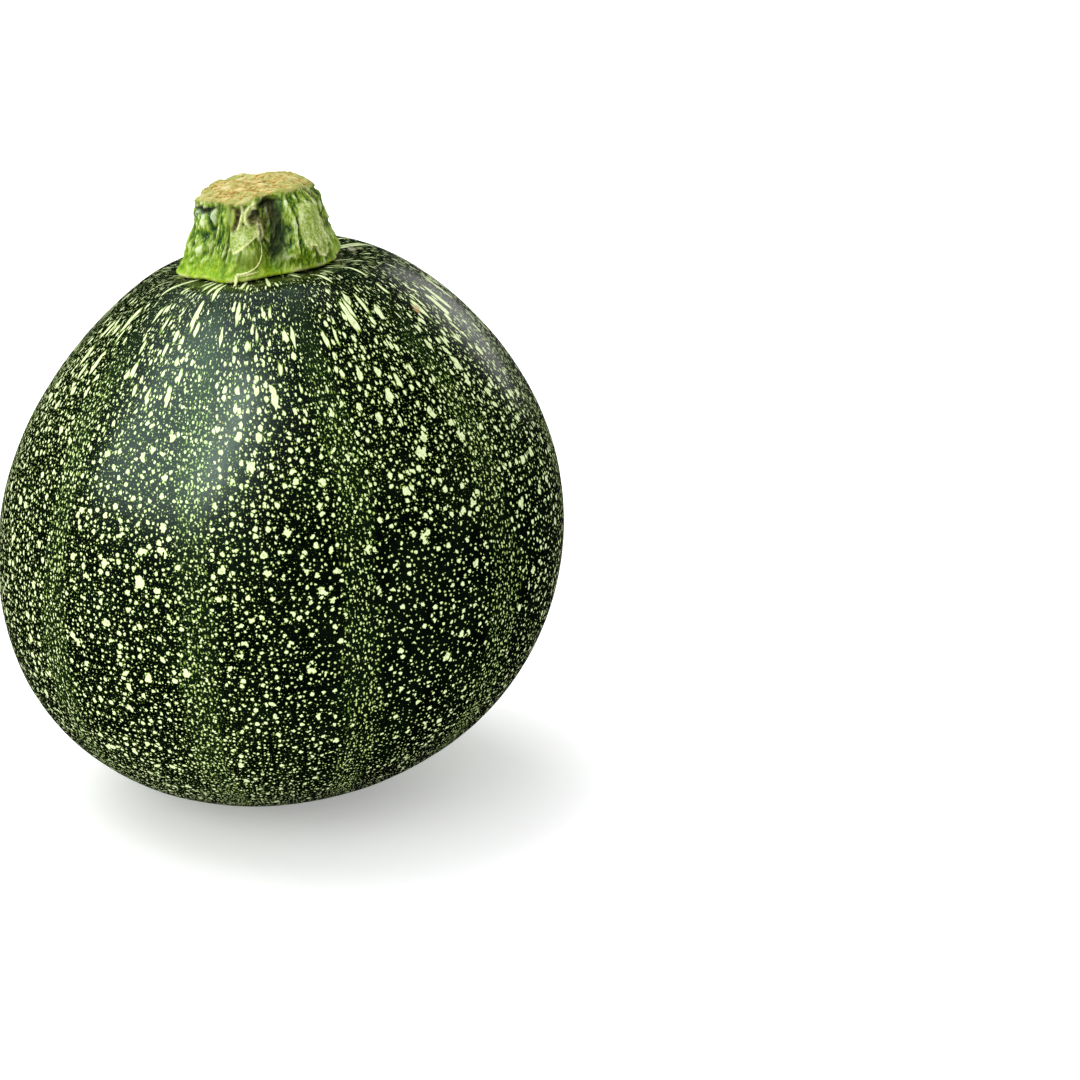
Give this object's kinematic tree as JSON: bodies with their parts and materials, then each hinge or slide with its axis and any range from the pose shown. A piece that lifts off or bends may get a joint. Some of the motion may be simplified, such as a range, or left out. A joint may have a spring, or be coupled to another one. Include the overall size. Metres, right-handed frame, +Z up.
{
  "type": "round courgette",
  "caption": "Round, dark green courgette with pale speckles and a short ribbed stem stub, standing on a small flat spot at its blossom end.",
  "frame": {"origin": "middle of the bounding box at its base, on the surface that the fruit rests on", "axes": "+Z up through the fruit towards its stem, -Y towards the front seen in the picture, +X to its right"},
  "size_m": [0.0984, 0.0986, 0.1082],
  "materials": {
    "rind": "waxy, satin, dark green with pale cream speckles",
    "stalk": "matt, ribbed, yellow-green with a corky tan cut face"
  },
  "bodies": {
    "root": {"fruit": "rind", "stem": "stalk"}
  },
  "joints": []
}
